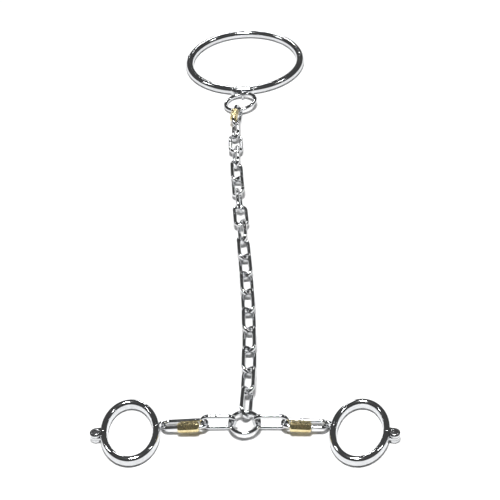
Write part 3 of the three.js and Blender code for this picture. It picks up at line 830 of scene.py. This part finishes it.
def socket_screw(size, spot, low, high, face=1):
    """A headless screw; its upper end goes down into a six-sided socket."""
    turn = ring_of(ROUND_STEPS + 4)
    side = np.ones_like(turn)
    socket = hexagon(turn, size * SOCKET_SHARE)
    rows = [
        (0 * side, low), (side * (size / 2 - SCREW_TIP), low), (side * size / 2, low + SCREW_TIP),
        (side * size / 2, high - SCREW_RIM), (side * (size / 2 - SCREW_RIM), high),
        (socket, high), (socket, high - SOCKET_DEPTH), (0 * side, high - SOCKET_POINT),
    ]
    points = np.array([
        np.stack([spot[0] + r * np.cos(turn), spot[1] + r * np.sin(turn), face * z * side], 1)
        for r, z in rows
    ])
    return grid_mesh(points)


# %% Place the collar
def flat_place(hinge, hinge_spot, lock, lock_spot, face=1):
    """Where a flat-lying piece is, from two joints that it holds; face -1 is upside down."""
    start, span = joint_point(hinge), joint_point(lock) - joint_point(hinge)
    local = np.subtract(lock_spot, hinge_spot)
    turn = math.atan2(span[1], span[0]) - face * math.atan2(local[1], local[0])
    across = np.array([math.cos(turn), math.sin(turn), 0.0])
    back = face * np.array([-math.sin(turn), math.cos(turn), 0.0])
    origin = start - across * hinge_spot[0] - back * hinge_spot[1]
    return origin, np.stack([across, back, np.array([0, 0, face], float)])


collar_at = flat_place(
    "collar_opening", COLLAR_PIN_SPOT, "collar_screw_turn", COLLAR_SCREW_SPOT,
)
dress("collar_front_half", collar_front(), *collar_at, "collar_front", "polished_steel")
dress("collar_staple", staple(), *collar_at, "collar_front", "polished_steel")
dress("collar_rear_half", collar_rear(), *collar_at, "collar_rear", "polished_steel")
collar_pin = rivet(COLLAR_PIN, COLLAR_HEAD, BAR_RADIUS, COLLAR_HEAD_DEPTH, COLLAR_PIN_SPOT)
dress("collar_hinge_pin", collar_pin, *collar_at, "collar_rear", "pin_steel")
collar_screw = socket_screw(COLLAR_SCREW, COLLAR_SCREW_SPOT, *COLLAR_SCREW_ENDS)
dress("collar_lock_screw", collar_screw, *collar_at, "collar_lock_screw", "pin_steel")

# %% [markdown]
# ## Cuffs
# A cuff is a flat-sided band with rounded edges, bent to an oval and sawn into two halves.
# Its section is a rounded rectangle carried round an ellipse that grows from the inside face
# to the outside face. The hinge ears stand outside the band, and the eye that takes the
# quick link is a rounded plate on the rear half, close to the lock.

# %% Cuff sizes and band
CUFF_WIDTH, CUFF_LENGTH, CUFF_WALL, CUFF_HEIGHT = 51.3, 72.7, 6.5, 9.3
CUFF_EDGE = 3.05  # radius along the band's edges, worn a little rounder than drawn
CUFF_STEPS = 110
CUFF_PIN_SPOT, CUFF_SCREW_SPOT = (-29.05, 0.0), (22.4, 3.5)
CUFF_PIN, CUFF_HEAD, CUFF_HEAD_DEPTH = 3.4, 7.2, 0.9
CUFF_SCREW, CUFF_SCREW_ENDS = 2.6, (1.85, 4.35)
EAR_SIZE, EAR_TOP, EAR_MIDDLE = 10.0, 3.75, 1.1167
WEB_REACH = 7.3


def band_section(corner_steps=8):
    """A rounded rectangle as [across, height]: four quarter circles joined by straights."""
    turn = np.linspace(0, np.pi / 2, corner_steps)
    points = []
    for quarter, (x, z) in enumerate(((1, 1), (-1, 1), (-1, -1), (1, -1))):
        corner = np.array([x * (CUFF_WALL / 2 - CUFF_EDGE), z * (CUFF_HEIGHT / 2 - CUFF_EDGE)])
        angle = turn + quarter * np.pi / 2
        points.append(corner + CUFF_EDGE * np.stack([np.cos(angle), np.sin(angle)], 1))
    return np.concatenate(points)


def band_side(sign):
    """The section round half an oval: each point keeps its own ellipse, up to the saw cut."""
    across, height = band_section().T

    def row(share, loss, inset):
        shrink = (0, 0) if loss is None else (1 - loss / CUFF_WALL * 2, 1 - loss / CUFF_HEIGHT * 2)
        wall = across * shrink[0]
        wide = (CUFF_WIDTH - CUFF_WALL) / 2 + wall
        deep = (CUFF_LENGTH - CUFF_WALL) / 2 + wall
        start = np.arcsin((SPLIT_GAP / 2 + inset) / deep)
        angle = start + share * (np.pi - 2 * start)
        return np.stack([wide * np.cos(angle), sign * deep * np.sin(angle), height * shrink[1]], 1)

    return closed_side(row, CUFF_STEPS, END_FILLET)


# %% Cuff halves
EYE_SPOT_X, EYE_BACK, EYE_SIZE, EYE_PLATE = 27.75, 3.6, 9.2, 2.4
CUFF_EYE_HOLE = 6.4
EYE_ROOT_X, EYE_ROOT_SHARE = 24.675, 0.36
EYE_EDGE = 0.9  # radius round the plate's rim
CUFF_TONGUE = (1.5, 7.0, 1.55)


def ear(sign, low, high):
    """
    A round ear with the web that ties it to the band, as one outline swept upwards: most of
    a circle, then straight out to the web's corners and back along the saw cut.
    """
    radius = EAR_SIZE / 2
    cut = math.asin(SPLIT_GAP / 2 / radius)
    turn = np.linspace(np.pi / 2, 2 * np.pi + cut, 44)
    x = np.concatenate([radius * np.cos(turn), [WEB_REACH, WEB_REACH]]) + CUFF_PIN_SPOT[0]
    y = np.concatenate([radius * np.sin(turn), [SPLIT_GAP / 2, radius]]) * sign
    core_x, core_y = CUFF_PIN_SPOT[0], sign * 0.6  # a spot that sees the whole outline
    rows = [(low, 0.0), (low, 1.0), (high, 1.0), (high, 0.0)]
    return grid_mesh(np.array([
        np.stack([core_x + (x - core_x) * share, core_y + (y - core_y) * share, x * 0 + z], 1)
        for z, share in rows
    ]))


def lying(mesh, back):
    """Lays a turned piece down, so that its axis runs backwards at that distance."""
    place = np.empty(len(mesh.vertices) * 3)
    mesh.vertices.foreach_get("co", place)
    x, y, z = place.reshape(-1, 3).T
    mesh.vertices.foreach_set("co", np.stack([x, z + back, -y], 1).ravel())
    return mesh


def eye_plate():
    """A disc whose rim is rounded by a quarter circle on both faces, with a flat root."""
    half, tall = EYE_PLATE / 2, EYE_SIZE * EYE_ROOT_SHARE
    curl = np.linspace(0, np.pi / 2, 7)
    rim = np.stack([
        EYE_SIZE / 2 - EYE_EDGE + EYE_EDGE * np.cos(curl),
        half - EYE_EDGE + EYE_EDGE * np.sin(curl),
    ], 1)
    outline = np.concatenate([[(0, -half)], rim[::-1] * (1, -1), rim, [(0, half)]])
    disc = lying(spin_surface(outline, (EYE_SPOT_X, 0)), EYE_BACK)
    root = block(
        (EYE_ROOT_X, EYE_BACK - half, -tall), (EYE_SPOT_X, EYE_BACK + half, tall),
    )
    return joined(disc, root)


def cuff_front():
    half, length, high = CUFF_TONGUE
    x = CUFF_SCREW_SPOT[0]
    space = EAR_SIZE + 2 * EAR_GAP
    base = cut_away(
        band_side(-1), post(space, CUFF_PIN_SPOT, EAR_MIDDLE, FAR),
        post(space, CUFF_PIN_SPOT, -FAR, -EAR_MIDDLE),
    )
    base = joined(base, ear(-1, -EAR_MIDDLE, EAR_MIDDLE))
    base = cut_away(base, post(CUFF_PIN + PIN_PLAY, CUFF_PIN_SPOT, -FAR, FAR))
    return joined(base, block((x - half, -2, -high), (x + half, length, high)))


def cuff_rear(face):
    half, length, high = CUFF_TONGUE
    x, low = CUFF_SCREW_SPOT[0], EAR_MIDDLE + EAR_GAP
    base = cut_away(band_side(1), post(EAR_SIZE + 2 * EAR_GAP, CUFF_PIN_SPOT, -low, low))
    base = joined(base, ear(1, low, EAR_TOP), ear(1, -EAR_TOP, -low), eye_plate())
    pocket = block(
        (x - half - TONGUE_ROOM, -1, -high - EAR_GAP),
        (x + half + TONGUE_ROOM, length + TONGUE_ROOM, high + EAR_GAP),
    )
    hole = lying(post(CUFF_EYE_HOLE, (EYE_SPOT_X, 0), -8, 8), EYE_BACK)
    return cut_away(
        base, post(CUFF_PIN + PIN_PLAY, CUFF_PIN_SPOT, -FAR, FAR), hole, pocket,
        post(CUFF_SCREW + PIN_PLAY, CUFF_SCREW_SPOT, *sorted((0, face * FAR))),
    )


# %% Place the cuffs
for side, face in (("left", 1), ("right", -1)):
    at = flat_place(
        f"{side}_cuff_opening", CUFF_PIN_SPOT, f"{side}_cuff_screw_turn", CUFF_SCREW_SPOT, face,
    )
    rear, front = f"{side}_cuff_rear", f"{side}_cuff_front"
    dress(f"{front}_half", cuff_front(), *at, front, "polished_steel")
    dress(f"{rear}_half", cuff_rear(face), *at, rear, "polished_steel")
    pin = rivet(CUFF_PIN, CUFF_HEAD, CUFF_HEIGHT / 2, CUFF_HEAD_DEPTH, CUFF_PIN_SPOT)
    dress(f"{side}_cuff_hinge_pin", pin, *at, rear, "pin_steel")
    screw = socket_screw(CUFF_SCREW, CUFF_SCREW_SPOT, *CUFF_SCREW_ENDS, face)
    dress(f"{side}_cuff_lock_screw", screw, *at, f"{side}_cuff_lock_screw", "pin_steel")
